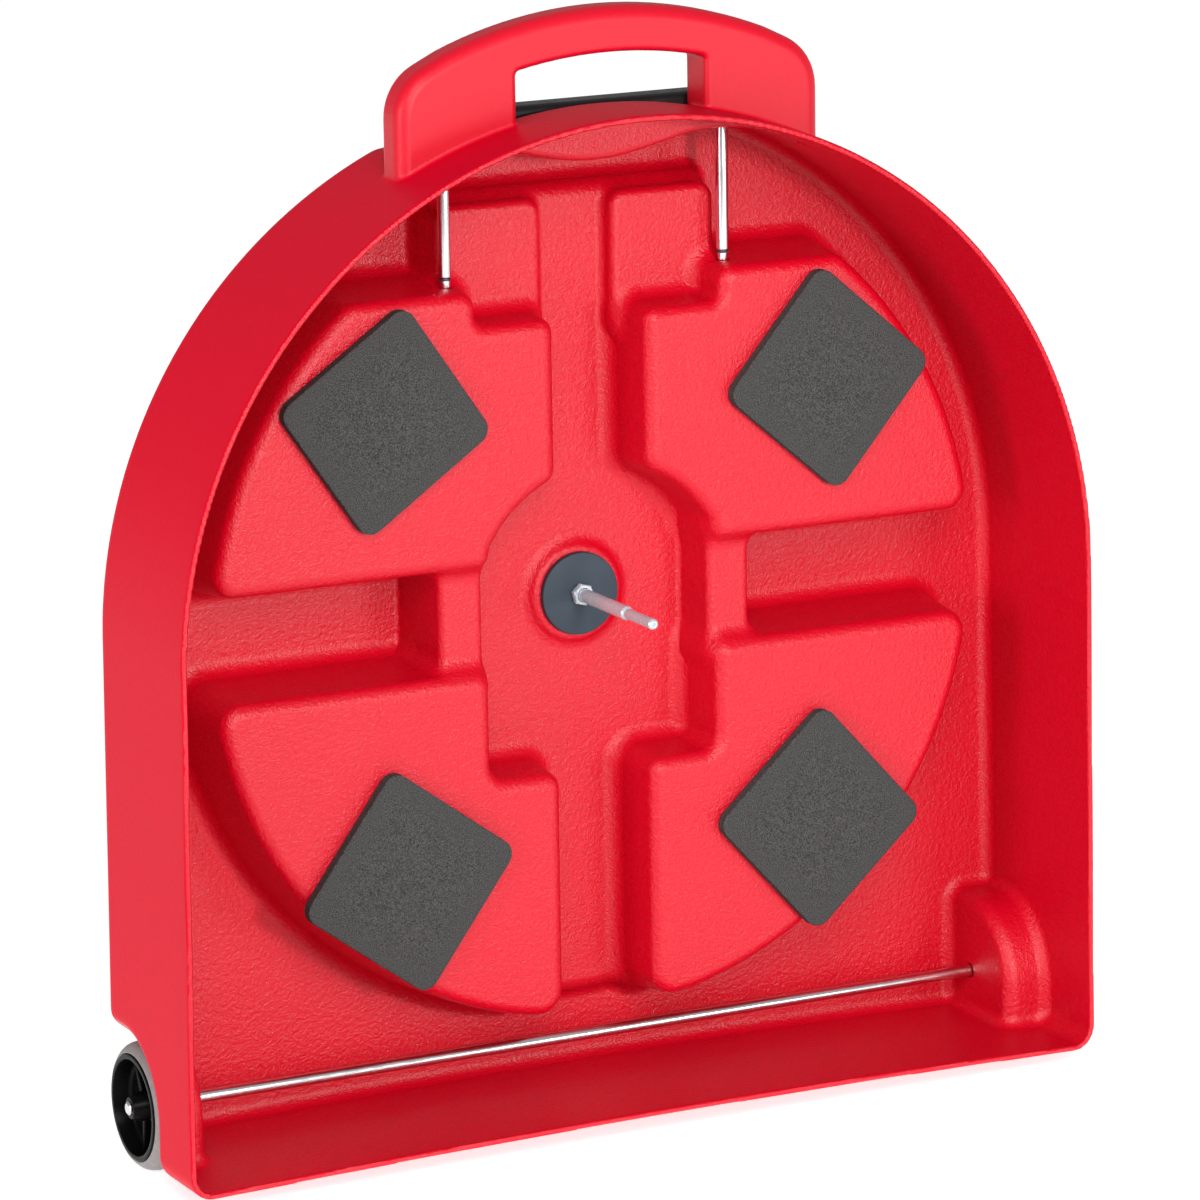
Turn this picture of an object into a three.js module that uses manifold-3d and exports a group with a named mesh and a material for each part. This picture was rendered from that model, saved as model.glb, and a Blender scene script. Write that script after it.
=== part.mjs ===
// Base half of a wheeled cymbal case: a moulded shell with a pull handle, wheels and a cymbal spindle.
// Millimetres. X is to the right, Y runs from the open front (-Y) to the back (+Y), Z is up.
// The origin is below the middle of the object, on the floor that the wheels touch.
import * as THREE from "three";
import { mergeVertices } from "three/addons/utils/BufferGeometryUtils.js";
import Module from "manifold-3d";

const wasm = await Module();
wasm.setup();

// ---- Driving dimensions ----
const GAP = 0.3;                      // clearance between touching pieces
const WALL = 4.2;                     // moulded wall
const BACK_Y = 61;                    // outer back face of the shell
const DEPTH = 134;                    // back face to rim
const LIFT = 9;                       // shell's underside above the floor
const ARCH_R = 322.5;                 // outer radius of the arched top
const CENTRE_Z = LIFT + 328;          // arch centre and spindle height
const BASE_HALF = 326;                // half-width at the bottom
const BASE_CORNER_R = 16;
const BASE_BOW = 5;                   // rise of the underside at mid-width
const DRAFT = 0.11;                   // mould draft, sideways per unit of depth

// Heights of the relief, measured from the back face towards the front
const FLOOR = WALL;
const PLATFORM = 22;
const SUBBLOCK = 34;
const BRIDGE = 55;
const BLOCK = 67;

const BLOCK_R = 272;                  // outer radius of the four blocks
const CHANNEL_HALF = 33;              // half-width of the upright channel
const BASIN_HALF = 82;                // half-width of the basin around the spindle
const BASIN_R = 91;                   // radius of the basin's arched top
const BASIN_LOW = -108;               // bottom of the basin, from the centre
const CROSS_TOP = 33;                 // edges of the level channel, from the centre
const CROSS_LOW = -36;
const LEDGE_LOW = 187;                // top edges of the upper blocks, from the centre
const LEDGE_HIGH = 209;
const LEDGE_STEP = 87;
const PLATFORM_HALF = 100;
const PLATFORM_TOP = 265;
const SUBBLOCK_IN = 25;
const SUBBLOCK_OUT = 99;
const SUBBLOCK_TOP = 259;
const BRIDGE_IN = 81;
const BRIDGE_OUT = 111;

const WHEEL_R = 41.5;
const WHEEL_W = 24;
const WHEEL_FACE_X = 321;             // outer face of the wheel
const AXLE_R = 4;
const AXLE_DEPTH = 29.5;               // from the back face
const AXLE_Z = WHEEL_R;
const WELL_R = 48;
const WELL_DEPTH = 27;                // middle of the well's arch, from the back face
const WELL_FACE_X = 295;              // well wall that the axle passes

const TYRE_SEAT_R = 34.8;
const HUB_SPOKES = 5;
const HUB_RIM_R = 29;                 // inside of the hub's rim
const HUB_BOSS_R = 11;                // foot of the boss
const HUB_NOSE_R = 7;                 // top of the boss
const HUB_NOSE = 1.5;                 // boss above the wheel's face
const HUB_DISH = -12;                 // web, below the wheel's face
const HUB_WEB_REAR = -16;

const ROD_X = 98.7;
const ROD_DEPTH = 45.5;
const ROD_R = 2.5;
const ROD_LENGTH = 455;
const ROD_TOP = 2;                    // top of the rod above the grip's middle
const TUBE_R = 4;
const NECK_R = 3.4;
const BUSH_R = 6.5;
const STOP_R = 4.8;
const SCREW_R = 1.6;
const SCREW_HEAD_R = 3.6;
const HANDLE_HALF = 148;              // carry handle
const HANDLE_TOP_Z = LIFT + 713;
const HANDLE_ARC_R = 300;
const HANDLE_CORNER_R = 36;
const HANDLE_FRONT = 87;
const HANDLE_BACK = 58.5;
const SLOT_HALF = 66;
const SLOT_CORNER_R = 3;
const SLOT_TOP_Z = LIFT + 684;
const POCKET_DEPTH = 59.5;            // recess behind the carry handle
const POCKET_Z = LIFT + 630;
const POCKET_HALF = 124;
const SCALLOP_HALF = 58;
const SCALLOP_DROP = 13;
const GRIP_HALF = 117;
const GRIP_DEPTH = 23;
const GRIP_HEIGHT = 17;
const GRIP_BASE_Z = POCKET_Z + 3.5;

const SPINDLE_R = 4.5;
const TIP_R = 3.5;
const SHOULDER = 98;                  // depth where the spindle steps down to its tip
const SPINDLE_END = 134;
const BOSS_BASE_R = 35.5;
const BOSS_TOP_R = 30;
const BOSS_TOP = 28;
const DISC_R = 27;
const DISC_T = 4;
const PAD_T = 8;
const PAD_CORNER_R = 10;
// Hand-cut and hand-placed pads: middle from the arch centre, tilt and two sides
const PADS = [
  { label: "top_left", x: -154.2, z: 134.9, tilt: -10.6, wide: 107, high: 105 },
  { label: "top_right", x: 161, z: 131.6, tilt: 4.3, wide: 106, high: 107 },
  { label: "bottom_left", x: -144.3, z: -162.6, tilt: 8.5, wide: 109, high: 107 },
  { label: "bottom_right", x: 152.2, z: -160.4, tilt: -3, wide: 107, high: 110 },
];

const wallAt = (depth) => BACK_Y - depth;
const LEDGE_Z = CENTRE_Z + LEDGE_HIGH + DRAFT * (BLOCK - ROD_DEPTH);   // ledge height at the guide tubes

// ---- Materials ----
function finish(color, roughness, metalness) {
  return new THREE.MeshStandardMaterial({ color, roughness, metalness });
}
const RED = finish(0xd9142a, 0.5, 0);
const BLACK = finish(0x141414, 0.35, 0);
const GREY_RUBBER = finish(0x9a9694, 0.8, 0);
const DARK_RUBBER = finish(0x3c444b, 0.7, 0);
const FOAM = finish(0x4a4c49, 0.95, 0);
const CHROME = finish(0xd6d8da, 0.15, 1);
const STEEL = finish(0xb9bbbd, 0.35, 1);

const object = new THREE.Group();

// ---- Solids and booleans ----
function toSolid(geometry) {
  const bare = geometry.clone();
  bare.deleteAttribute("normal");
  bare.deleteAttribute("uv");
  const merged = mergeVertices(bare, 1e-4);
  return new wasm.Manifold(new wasm.Mesh({
    numProp: 3,
    vertProperties: new Float32Array(merged.attributes.position.array),
    triVerts: new Uint32Array(merged.index.array),
  }));
}

function toGeometry(solid) {
  const mesh = solid.getMesh();
  const geometry = new THREE.BufferGeometry();
  geometry.setAttribute("position", new THREE.BufferAttribute(new Float32Array(mesh.vertProperties), 3));
  geometry.setIndex(new THREE.BufferAttribute(new Uint32Array(mesh.triVerts), 1));
  geometry.computeVertexNormals();
  return geometry;
}

function addPiece(name, geometry, material, x = 0, y = 0, z = 0) {
  const mesh = new THREE.Mesh(geometry, material);
  mesh.name = name;
  mesh.position.set(x, y, z);
  object.add(mesh);
  return mesh;
}

// ---- Outlines in X and Z ----
const point = (x, z, r = 0) => ({ x, z, r });

function arcPoints(cx, cz, radius, fromDeg, toDeg, steps) {
  const points = [];
  for (let i = 0; i <= steps; i += 1) {
    const angle = THREE.MathUtils.degToRad(fromDeg + ((toDeg - fromDeg) * i) / steps);
    points.push(point(cx + radius * Math.cos(angle), cz + radius * Math.sin(angle)));
  }
  return points;
}

// Moves every edge of a counter-clockwise outline inwards by inset, keeping its corner count.
function insetOutline(outline, inset) {
  const count = outline.length;
  return outline.map((corner, i) => {
    const before = outline[(i + count - 1) % count];
    const after = outline[(i + 1) % count];
    const inDir = new THREE.Vector2(corner.x - before.x, corner.z - before.z).normalize();
    const outDir = new THREE.Vector2(after.x - corner.x, after.z - corner.z).normalize();
    const inNormal = new THREE.Vector2(-inDir.y, inDir.x);
    const outNormal = new THREE.Vector2(-outDir.y, outDir.x);
    const mitre = inNormal.clone().add(outNormal);
    mitre.multiplyScalar(inset / (1 + inNormal.dot(outNormal)));
    const turnsLeft = inDir.cross(outDir) > 0;
    const r = corner.r === 0 ? 0 : Math.max(corner.r + (turnsLeft ? -inset : inset), 1);
    return point(corner.x + mitre.x, corner.z + mitre.y, r);
  });
}

// Rounds each corner that has a radius with a short run of chords.
function roundOutline(outline, steps = 3) {
  const count = outline.length;
  const rounded = [];
  outline.forEach((corner, i) => {
    if (corner.r === 0) {
      rounded.push(new THREE.Vector2(corner.x, corner.z));
      return;
    }
    const here = new THREE.Vector2(corner.x, corner.z);
    const before = outline[(i + count - 1) % count];
    const after = outline[(i + 1) % count];
    const toBefore = new THREE.Vector2(before.x, before.z).sub(here).normalize();
    const toAfter = new THREE.Vector2(after.x, after.z).sub(here).normalize();
    const half = Math.acos(THREE.MathUtils.clamp(toBefore.dot(toAfter), -1, 1)) / 2;
    const back = corner.r / Math.tan(half);
    const inwards = toBefore.clone().add(toAfter).normalize();
    const centre = inwards.multiplyScalar(corner.r / Math.sin(half)).add(here);
    const start = toBefore.multiplyScalar(back).add(here).sub(centre);
    const end = toAfter.multiplyScalar(back).add(here).sub(centre);
    const sweep = Math.atan2(start.cross(end), start.dot(end));
    for (let k = 0; k <= steps; k += 1) {
      const turned = start.clone().rotateAround(new THREE.Vector2(0, 0), (sweep * k) / steps);
      rounded.push(turned.add(centre));
    }
  });
  return rounded;
}

// A closed body between two outlines with equal point counts, at two depths from the back face.
function loft(rearOutline, frontOutline, rearDepth, frontDepth) {
  const count = rearOutline.length;
  const positions = [];
  for (const p of rearOutline) positions.push(p.x, wallAt(rearDepth), p.y);
  for (const p of frontOutline) positions.push(p.x, wallAt(frontDepth), p.y);
  const index = [];
  for (const [a, b, c] of THREE.ShapeUtils.triangulateShape(rearOutline, [])) index.push(a, c, b);
  for (const [a, b, c] of THREE.ShapeUtils.triangulateShape(frontOutline, [])) {
    index.push(a + count, b + count, c + count);
  }
  for (let i = 0; i < count; i += 1) {
    const next = (i + 1) % count;
    index.push(i, next, next + count, i, next + count, i + count);
  }
  const geometry = new THREE.BufferGeometry();
  geometry.setAttribute("position", new THREE.Float32BufferAttribute(positions, 3));
  geometry.setIndex(index);
  return geometry;
}

const prism = (outline, rearDepth, frontDepth) =>
  toSolid(loft(roundOutline(outline), roundOutline(outline), rearDepth, frontDepth));

// A drafted body whose front face has the given outline and which widens towards the back.
function drafted(outline, rearDepth, frontDepth, inset = 0) {
  const spread = DRAFT * (frontDepth - rearDepth);
  const front = roundOutline(insetOutline(outline, inset));
  const rear = roundOutline(insetOutline(outline, inset - spread));
  return toSolid(loft(rear, front, rearDepth, frontDepth));
}

const mirrored = (outline) => outline.map((p) => point(-p.x, p.z, p.r)).reverse();

function cylinderY(radius, rearDepth, frontDepth, x, z, segments = 24, frontRadius = radius) {
  const length = frontDepth - rearDepth;
  const geometry = new THREE.CylinderGeometry(radius, frontRadius, length, segments);
  geometry.translate(x, wallAt((rearDepth + frontDepth) / 2), z);
  return toSolid(geometry);
}

function cylinderX(radius, x0, x1, y, z, segments = 32) {
  const geometry = new THREE.CylinderGeometry(radius, radius, x1 - x0, segments);
  geometry.rotateZ(Math.PI / 2);
  geometry.translate((x0 + x1) / 2, y, z);
  return toSolid(geometry);
}

function cylinderZ(radius, z0, z1, x, y, segments = 24) {
  const geometry = new THREE.CylinderGeometry(radius, radius, z1 - z0, segments);
  geometry.rotateX(Math.PI / 2);
  geometry.translate(x, y, (z0 + z1) / 2);
  return toSolid(geometry);
}

function box(x0, x1, rearDepth, frontDepth, z0, z1) {
  const geometry = new THREE.BoxGeometry(x1 - x0, frontDepth - rearDepth, z1 - z0);
  geometry.translate((x0 + x1) / 2, wallAt((rearDepth + frontDepth) / 2), (z0 + z1) / 2);
  return toSolid(geometry);
}

// ---- Outlines of the shell ----
function shellOutline(inset) {
  const radius = ARCH_R - inset;
  const half = BASE_HALF - inset;
  const low = LIFT + inset;
  const cornerR = BASE_CORNER_R - inset;
  const arch = arcPoints(0, CENTRE_Z, radius, 0, 180, 40);
  const leftCorner = arcPoints(-half + cornerR, low + cornerR, cornerR, 180, 270, 6);
  const rightCorner = arcPoints(half - cornerR, low + cornerR, cornerR, 270, 360, 6);
  const bow = [];
  for (const share of [-0.6, -0.2, 0.2, 0.6]) {
    bow.push(point(share * (half - cornerR), low + BASE_BOW * (1 - share * share)));
  }
  return [...arch, ...leftCorner, ...bow, ...rightCorner];
}

const atCentre = (outline) => outline.map((p) => point(p.x, p.z + CENTRE_Z, p.r));
const angleAt = (height, radius) => THREE.MathUtils.radToDeg(Math.asin(height / radius));
const widthAt = (height, radius) => Math.sqrt(radius * radius - height * height);

function upperBlockOutline() {
  const outerTop = angleAt(LEDGE_HIGH, BLOCK_R);
  const outerLow = angleAt(CROSS_TOP, BLOCK_R);
  const basinStart = THREE.MathUtils.radToDeg(Math.acos(BASIN_HALF / BASIN_R));
  const basinEnd = THREE.MathUtils.radToDeg(Math.acos(CHANNEL_HALF / BASIN_R));
  const basinArc = arcPoints(0, 0, BASIN_R, basinEnd, basinStart, 6).slice(1, -1);
  const outerArc = arcPoints(0, 0, BLOCK_R, outerLow, outerTop, 9).slice(1, -1);
  return atCentre([
    point(BASIN_HALF, CROSS_TOP, 9),
    point(widthAt(CROSS_TOP, BLOCK_R), CROSS_TOP, 15),
    ...outerArc,
    point(widthAt(LEDGE_HIGH, BLOCK_R), LEDGE_HIGH, 12),
    point(LEDGE_STEP, LEDGE_HIGH, 10),
    point(LEDGE_STEP, LEDGE_LOW, 8),
    point(CHANNEL_HALF, LEDGE_LOW, 8),
    point(CHANNEL_HALF, widthAt(CHANNEL_HALF, BASIN_R), 10),
    ...basinArc,
  ]);
}

function lowerBlockOutline() {
  const arcStart = -angleAt(widthAt(CHANNEL_HALF, BLOCK_R), BLOCK_R);
  const arcEnd = angleAt(CROSS_LOW, BLOCK_R);
  const outerArc = arcPoints(0, 0, BLOCK_R, arcStart, arcEnd, 12).slice(1, -1);
  return atCentre([
    point(CHANNEL_HALF, -widthAt(CHANNEL_HALF, BLOCK_R), 16),
    ...outerArc,
    point(widthAt(CROSS_LOW, BLOCK_R), CROSS_LOW, 14),
    point(BASIN_HALF, CROSS_LOW, 9),
    point(BASIN_HALF, BASIN_LOW, 12),
    point(CHANNEL_HALF, BASIN_LOW, 9),
  ]);
}

function rectangle(x0, x1, z0, z1, r) {
  return [point(x0, z0, r), point(x1, z0, r), point(x1, z1, r), point(x0, z1, r)];
}

function platformOutline() {
  const lowAngle = THREE.MathUtils.radToDeg(Math.acos(PLATFORM_HALF / BLOCK_R));
  return atCentre([
    ...arcPoints(0, 0, BLOCK_R, -lowAngle, -180 + lowAngle, 6).reverse(),
    point(PLATFORM_HALF, PLATFORM_TOP, 8),
    point(-PLATFORM_HALF, PLATFORM_TOP, 8),
  ]);
}

// Relief that rises from the back face: outline and height of each raised field
function reliefFields() {
  const subBlock = atCentre(rectangle(SUBBLOCK_IN, SUBBLOCK_OUT, LEDGE_LOW - 20, SUBBLOCK_TOP, 8));
  const bridge = atCentre(rectangle(BRIDGE_IN, BRIDGE_OUT, CROSS_LOW - 12, CROSS_TOP + 12, 3));
  const paired = [
    { outline: subBlock, height: SUBBLOCK },
    { outline: bridge, height: BRIDGE },
    { outline: upperBlockOutline(), height: BLOCK },
    { outline: lowerBlockOutline(), height: BLOCK },
  ];
  const fields = [{ outline: platformOutline(), height: PLATFORM }];
  for (const field of paired) {
    fields.push(field);
    fields.push({ outline: mirrored(field.outline), height: field.height });
  }
  return fields;
}

function wellProfile(grow) {
  const radius = WELL_R + grow;
  const arc = arcPoints(0, AXLE_Z, radius, 180, 90, 8);
  const rear = WELL_DEPTH + 30;
  return [point(-radius, -30), ...arc, point(rear, AXLE_Z + radius), point(rear, -30)];
}

// A wheel well is a body along X whose profile lies in Y and Z.
function wellBody(side, grow, faceX) {
  const shape = new THREE.Shape();
  wellProfile(grow).forEach((p, i) => (i === 0 ? shape.moveTo(p.x, p.z) : shape.lineTo(p.x, p.z)));
  const length = BASE_HALF + 20 - faceX;
  const geometry = new THREE.ExtrudeGeometry(shape, { depth: length, bevelEnabled: false });
  geometry.rotateX(Math.PI / 2);
  geometry.rotateZ(Math.PI / 2);
  const start = side > 0 ? faceX : -faceX - length;
  geometry.translate(start, wallAt(WELL_DEPTH), 0);
  return toSolid(geometry);
}

// The carry handle's outline over the arch, moved inwards by inset and down to a circle about the arch centre
function handleOutline(inset, footRadius) {
  const half = HANDLE_HALF - inset;
  const radius = HANDLE_ARC_R - inset;
  const centreZ = HANDLE_TOP_Z - HANDLE_ARC_R;
  const cornerR = HANDLE_CORNER_R - inset;
  const topReach = Math.PI / 2 - Math.asin((half - cornerR) / radius);
  const topDeg = THREE.MathUtils.radToDeg(topReach);
  const footDeg = THREE.MathUtils.radToDeg(Math.acos(half / footRadius));
  const cornerZ = centreZ + widthAt(half, radius);
  return [
    ...arcPoints(0, CENTRE_Z, footRadius, 180 - footDeg, footDeg, 12),
    point(half, cornerZ, cornerR),
    ...arcPoints(0, centreZ, radius, topDeg, 180 - topDeg, 10),
    point(-half, cornerZ, cornerR),
  ];
}

// The finger slot, moved outwards by grow and down to a circle about the arch centre
function slotOutline(grow, footRadius) {
  const half = SLOT_HALF + grow;
  const radius = HANDLE_ARC_R + grow;
  const centreZ = SLOT_TOP_Z - HANDLE_ARC_R;
  const cornerR = SLOT_CORNER_R + grow;
  const topDeg = THREE.MathUtils.radToDeg(Math.acos((half - 2 * cornerR) / radius));
  const footDeg = THREE.MathUtils.radToDeg(Math.acos(half / footRadius));
  const cornerZ = centreZ + widthAt(half, radius);
  return [
    ...arcPoints(0, CENTRE_Z, footRadius, 180 - footDeg, footDeg, 6),
    point(half, cornerZ, cornerR),
    ...arcPoints(0, centreZ, radius, topDeg, 180 - topDeg, 6),
    point(-half, cornerZ, cornerR),
  ];
}

function scallopOutline(grow) {
  const half = SCALLOP_HALF;
  const radius = (half * half + SCALLOP_DROP * SCALLOP_DROP) / (2 * SCALLOP_DROP);
  const reach = THREE.MathUtils.radToDeg(Math.asin(half / radius));
  const centreZ = POCKET_Z - SCALLOP_DROP + radius;
  const arc = arcPoints(0, centreZ, radius + grow, 270 - reach, 270 + reach, 10);
  return [...arc, point(half, POCKET_Z + 5), point(-half, POCKET_Z + 5)];
}

// ---- Shell ----
function makeShell() {
  const outer = prism(shellOutline(0), 0, DEPTH);
  let inside = prism(shellOutline(WALL), FLOOR, DEPTH + 5);
  const hollows = [];
  for (const { outline, height } of reliefFields()) {
    inside = inside.subtract(drafted(outline, -1, height));
    hollows.push(drafted(outline, -2, height - WALL, WALL));
  }
  const bossRise = BOSS_TOP - PLATFORM;
  inside = inside.subtract(cylinderY(BOSS_BASE_R, PLATFORM - 1, BOSS_TOP, 0, CENTRE_Z, 32, BOSS_TOP_R));
  const hollowR = BOSS_BASE_R - WALL;
  hollows.push(cylinderY(hollowR, 5, BOSS_TOP - WALL, 0, CENTRE_Z, 32, BOSS_TOP_R - bossRise));
  for (const side of [-1, 1]) {
    inside = inside.subtract(wellBody(side, WALL, WELL_FACE_X - WALL));
    hollows.push(wellBody(side, 0, WELL_FACE_X));
  }
  const pocketHalf = POCKET_HALF + WALL;
  const pocketFront = POCKET_DEPTH + WALL;
  const aboveArch = POCKET_Z + 60;
  inside = inside.subtract(box(-pocketHalf, pocketHalf, -1, pocketFront, POCKET_Z - WALL, aboveArch));
  inside = inside.subtract(prism(scallopOutline(WALL), -1, pocketFront));
  hollows.push(box(-POCKET_HALF, POCKET_HALF, -2, POCKET_DEPTH, POCKET_Z, aboveArch));
  hollows.push(prism(scallopOutline(0), -2, POCKET_DEPTH));

  let shell = outer.subtract(inside);
  for (const hollow of hollows) shell = shell.subtract(hollow);

  const slot = prism(slotOutline(0, ARCH_R), HANDLE_BACK - 5, HANDLE_FRONT + 5);
  const handle = prism(handleOutline(0, ARCH_R - 1), HANDLE_BACK + 1, HANDLE_FRONT).subtract(slot);
  const coreBody = prism(handleOutline(WALL, ARCH_R - WALL - 2), POCKET_DEPTH + WALL, HANDLE_FRONT - WALL);
  const slotWall = prism(slotOutline(WALL, ARCH_R - WALL - 6), HANDLE_BACK - 5, HANDLE_FRONT + 5);
  shell = shell.add(handle).subtract(coreBody.subtract(slotWall));

  const shellBores = [cylinderY(SPINDLE_R + GAP, 0, BOSS_TOP + 5, 0, CENTRE_Z, 16)];
  for (const side of [-1, 1]) {
    const x0 = side > 0 ? WELL_FACE_X - 2 * WALL : -WELL_FACE_X - WALL;
    shellBores.push(cylinderX(AXLE_R + GAP, x0, x0 + 3 * WALL, wallAt(AXLE_DEPTH), AXLE_Z, 16));
    const rodY = wallAt(ROD_DEPTH);
    shellBores.push(cylinderZ(BUSH_R + GAP, POCKET_Z - WALL - 5, POCKET_Z + 5, side * ROD_X, rodY, 16));
    shellBores.push(cylinderZ(NECK_R + GAP, LEDGE_Z - 15, LEDGE_Z + 5, side * ROD_X, rodY, 16));
  }
  for (const bore of shellBores) shell = shell.subtract(bore);
  return toGeometry(shell);
}

// ---- Turned pieces ----
// A ring or plug turned about Z from [radius, height] corners, rising on the outside.
function turned(corners, segments = 24) {
  const solid = corners[0][0] === 0;
  const closed = solid ? corners : [...corners, corners[0]];
  const geometry = new THREE.LatheGeometry(closed.map(([r, h]) => new THREE.Vector2(r, h)), segments);
  geometry.rotateX(Math.PI / 2);
  return geometry;
}

const ring = (inner, outer, z0, z1, segments = 24) =>
  turned([[inner, z0], [outer, z0], [outer, z1], [inner, z1]], segments);

const aboutX = (geometry, side) => geometry.rotateY((side * Math.PI) / 2);
const towardsFront = (geometry) => geometry.rotateX(Math.PI / 2);

function hexNut(flats, bore, thickness) {
  const shape = new THREE.Shape();
  const corner = flats / Math.sqrt(3);
  for (let i = 0; i < 6; i += 1) {
    const angle = (i * Math.PI) / 3 + 0.2;
    const place = [corner * Math.cos(angle), corner * Math.sin(angle)];
    if (i === 0) shape.moveTo(...place);
    else shape.lineTo(...place);
  }
  const hole = new THREE.Path();
  hole.absarc(0, 0, bore, 0, Math.PI * 2, true);
  shape.holes.push(hole);
  const settings = { depth: thickness, bevelEnabled: false, curveSegments: 10 };
  return towardsFront(new THREE.ExtrudeGeometry(shape, settings));
}

// ---- Wheels and axle ----
function makeHub() {
  const bore = AXLE_R + GAP;
  const hubR = TYRE_SEAT_R - GAP;
  const rear = -WHEEL_W;
  let hub = toSolid(turned([
    [bore, rear], [HUB_BOSS_R, rear], [HUB_BOSS_R, HUB_WEB_REAR], [HUB_RIM_R, HUB_WEB_REAR],
    [HUB_RIM_R, rear + 2], [hubR, rear + 2], [hubR, 0], [HUB_RIM_R + 2, 0], [HUB_RIM_R, HUB_DISH],
    [HUB_BOSS_R, HUB_DISH], [HUB_NOSE_R, HUB_NOSE], [bore, HUB_NOSE],
  ], 40));
  for (let i = 0; i < HUB_SPOKES; i += 1) {
    const length = HUB_RIM_R + 1 - HUB_NOSE_R;
    const spoke = new THREE.BoxGeometry(length, 3.6, 5);
    spoke.translate(HUB_NOSE_R + length / 2, 0, HUB_DISH + 1.5);
    spoke.rotateZ((i * 2 * Math.PI) / HUB_SPOKES);
    hub = hub.add(toSolid(spoke));
  }
  return toGeometry(hub);
}

function makeTyre() {
  const half = WHEEL_W / 2;
  const section = [[TYRE_SEAT_R, -1], [TYRE_SEAT_R, -WHEEL_W + 1]];
  for (const share of [-0.9, -0.72, -0.4, 0, 0.4, 0.72, 0.9]) {
    const drop = 7 * Math.abs(share) ** 2.8;
    section.push([WHEEL_R - drop, -half + share * half]);
  }
  return turned(section, 48);
}

function addWheels() {
  const y = wallAt(AXLE_DEPTH);
  for (const [side, label] of [[-1, "left"], [1, "right"]]) {
    const faceX = side * WHEEL_FACE_X;
    addPiece(`wheel_hub_${label}`, aboutX(makeHub(), side), BLACK, faceX, y, AXLE_Z);
    addPiece(`wheel_tyre_${label}`, aboutX(makeTyre(), side), GREY_RUBBER, faceX, y, AXLE_Z);
    const spacer = ring(AXLE_R + GAP, 7, -WHEEL_FACE_X + WELL_FACE_X + GAP, -WHEEL_W - GAP);
    addPiece(`axle_spacer_${label}`, aboutX(spacer, side), BLACK, faceX, y, AXLE_Z);
    const cap = turned([[0, 1.8], [4.4, 1.8], [4.4, 2.4], [2.6, 3.6], [0, 4]], 20);
    addPiece(`axle_cap_${label}`, aboutX(cap, side), STEEL, faceX, y, AXLE_Z);
  }
  const axleEnd = WHEEL_FACE_X + 1.5;
  const axle = new THREE.CylinderGeometry(AXLE_R, AXLE_R, 2 * axleEnd, 24).rotateZ(Math.PI / 2);
  addPiece("axle", axle, CHROME, 0, y, AXLE_Z);
}

// ---- Pull handle ----
function makeGrip() {
  const bar = new THREE.Shape();
  const halfY = GRIP_DEPTH / 2;
  const halfZ = GRIP_HEIGHT / 2;
  const r = 5;
  bar.absarc(halfY - r, halfZ - r, r, 0, Math.PI / 2);
  bar.absarc(-halfY + r, halfZ - r, r, Math.PI / 2, Math.PI);
  bar.absarc(-halfY + r, -halfZ + r, r, Math.PI, 1.5 * Math.PI);
  bar.absarc(halfY - r, -halfZ + r, r, 1.5 * Math.PI, 2 * Math.PI);
  const settings = { depth: 2 * GRIP_HALF, bevelEnabled: false, curveSegments: 4 };
  const geometry = new THREE.ExtrudeGeometry(bar, settings);
  geometry.rotateX(Math.PI / 2);
  geometry.rotateZ(Math.PI / 2);
  geometry.translate(-GRIP_HALF, 0, 0);
  let grip = toSolid(geometry);
  for (const side of [-1, 1]) {
    grip = grip.subtract(cylinderZ(ROD_R + GAP, -20, ROD_TOP, side * ROD_X, 0, 20));
    grip = grip.subtract(cylinderZ(SCREW_R + GAP, 0, 20, side * ROD_X, 0, 12));
    grip = grip.subtract(cylinderZ(SCREW_HEAD_R + GAP, ROD_TOP + 2, 20, side * ROD_X, 0, 20));
  }
  return toGeometry(grip);
}

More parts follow.
